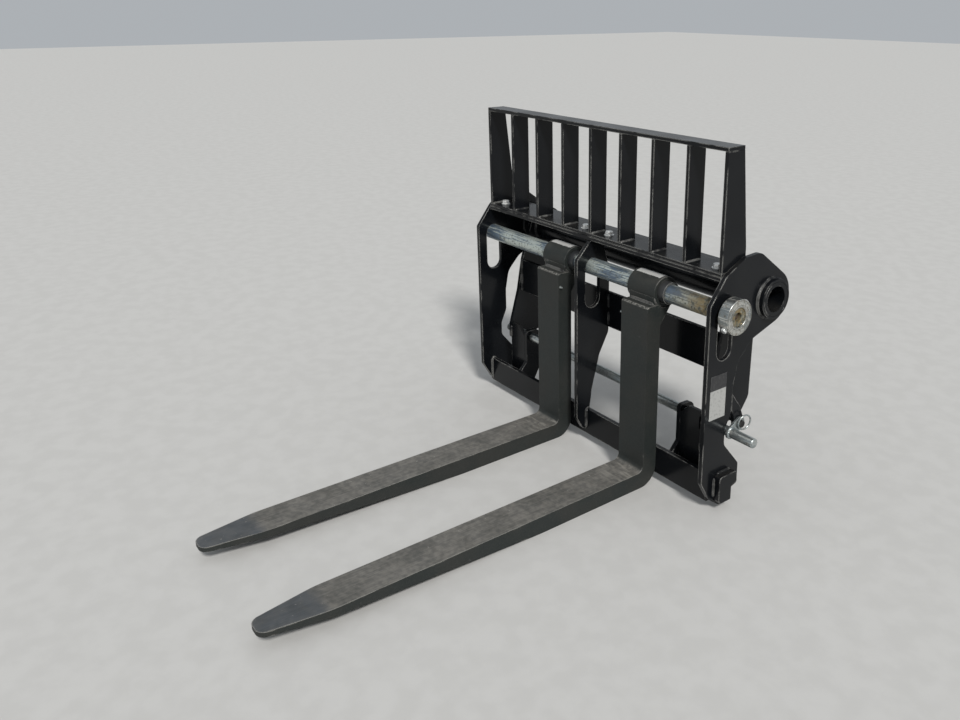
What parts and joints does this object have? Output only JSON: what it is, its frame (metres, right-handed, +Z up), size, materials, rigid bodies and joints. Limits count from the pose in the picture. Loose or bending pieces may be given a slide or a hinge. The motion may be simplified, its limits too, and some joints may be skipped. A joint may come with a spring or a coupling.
{
  "type": "telehandler floating fork carriage",
  "caption": "Fork carriage of a telehandler: two forks swing and slide on a floating shaft in a welded frame with load backrest, pick-up tube and sliding locking bar.",
  "frame": {"origin": "in the middle of the pick-up tube, on its axis; the forks' undersides rest on the ground 637 mm below it", "axes": "+X across the machine, towards the side with the shaft collar and the locking bar's tab; -Y along the fork blades to their tips; +Z up"},
  "size_m": [1.29, 1.556, 1.092],
  "materials": {
    "carriage_paint": "gloss",
    "fork_steel": "worn",
    "bush_steel": "satin",
    "shaft_steel": "satin",
    "zinc": "satin",
    "label": "matte"
  },
  "bodies": {
    "carriage": {"side_plate_left": "carriage_paint", "side_plate_right": "carriage_paint", "hitch_cheek_left": "carriage_paint", "hitch_cheek_right": "carriage_paint", "lock_lug_left": "carriage_paint", "lock_lug_right": "carriage_paint", "foot_block_left": "carriage_paint", "foot_block_right": "carriage_paint", "backrest_end_left": "carriage_paint", "backrest_end_right": "carriage_paint", "centre_plate": "carriage_paint", "top_plate": "carriage_paint", "lower_beam": "carriage_paint", "lock_guard_left": "carriage_paint", "lock_guard_right": "carriage_paint", "rear_wall": "carriage_paint", "pickup_tube": "carriage_paint", "pickup_bosses": "carriage_paint", "backrest_base": "carriage_paint", "backrest_rail": "carriage_paint", "backrest_bars": "carriage_paint", "lock_keeper": "carriage_paint", "label_plate": "label"},
    "shaft": {"float_shaft": "shaft_steel", "shaft_collar": "zinc", "shaft_stop_ring": "shaft_steel"},
    "bush_left": {"eye_bush_left": "bush_steel"},
    "bush_right": {"eye_bush_right": "bush_steel"},
    "fork_arm_left": {"fork_left": "fork_steel", "fork_neck_left": "fork_steel", "fork_eye_left": "fork_steel"},
    "fork_arm_right": {"fork_right": "fork_steel", "fork_neck_right": "fork_steel", "fork_eye_right": "fork_steel"},
    "locking_bar": {"lock_bar": "zinc", "lock_tab": "zinc", "linch_pin": "zinc"}
  },
  "joints": [
    {"name": "shaft_float", "type": "slide", "parent": "shaft", "child": "carriage", "axis": [0, 0, 1], "range_m": [0, 0.109]},
    {"name": "left_fork_slide", "type": "slide", "parent": "shaft", "child": "bush_left", "axis": [1, 0, 0], "range_m": [-0.355, 0.04]},
    {"name": "right_fork_slide", "type": "slide", "parent": "shaft", "child": "bush_right", "axis": [1, 0, 0], "range_m": [-0.205, 0.17]},
    {"name": "left_fork_swing", "type": "hinge", "parent": "bush_left", "child": "fork_arm_left", "pos_m": [-0.132, -0.193, -0.004], "axis": [-1, 0, 0], "range_deg": [0, 25]},
    {"name": "right_fork_swing", "type": "hinge", "parent": "bush_right", "child": "fork_arm_right", "pos_m": [0.295, -0.193, -0.004], "axis": [-1, 0, 0], "range_deg": [0, 25]},
    {"name": "locking_bar_slide", "type": "slide", "parent": "carriage", "child": "locking_bar", "axis": [1, 0, 0], "range_m": [0, 0.13]}
  ]
}
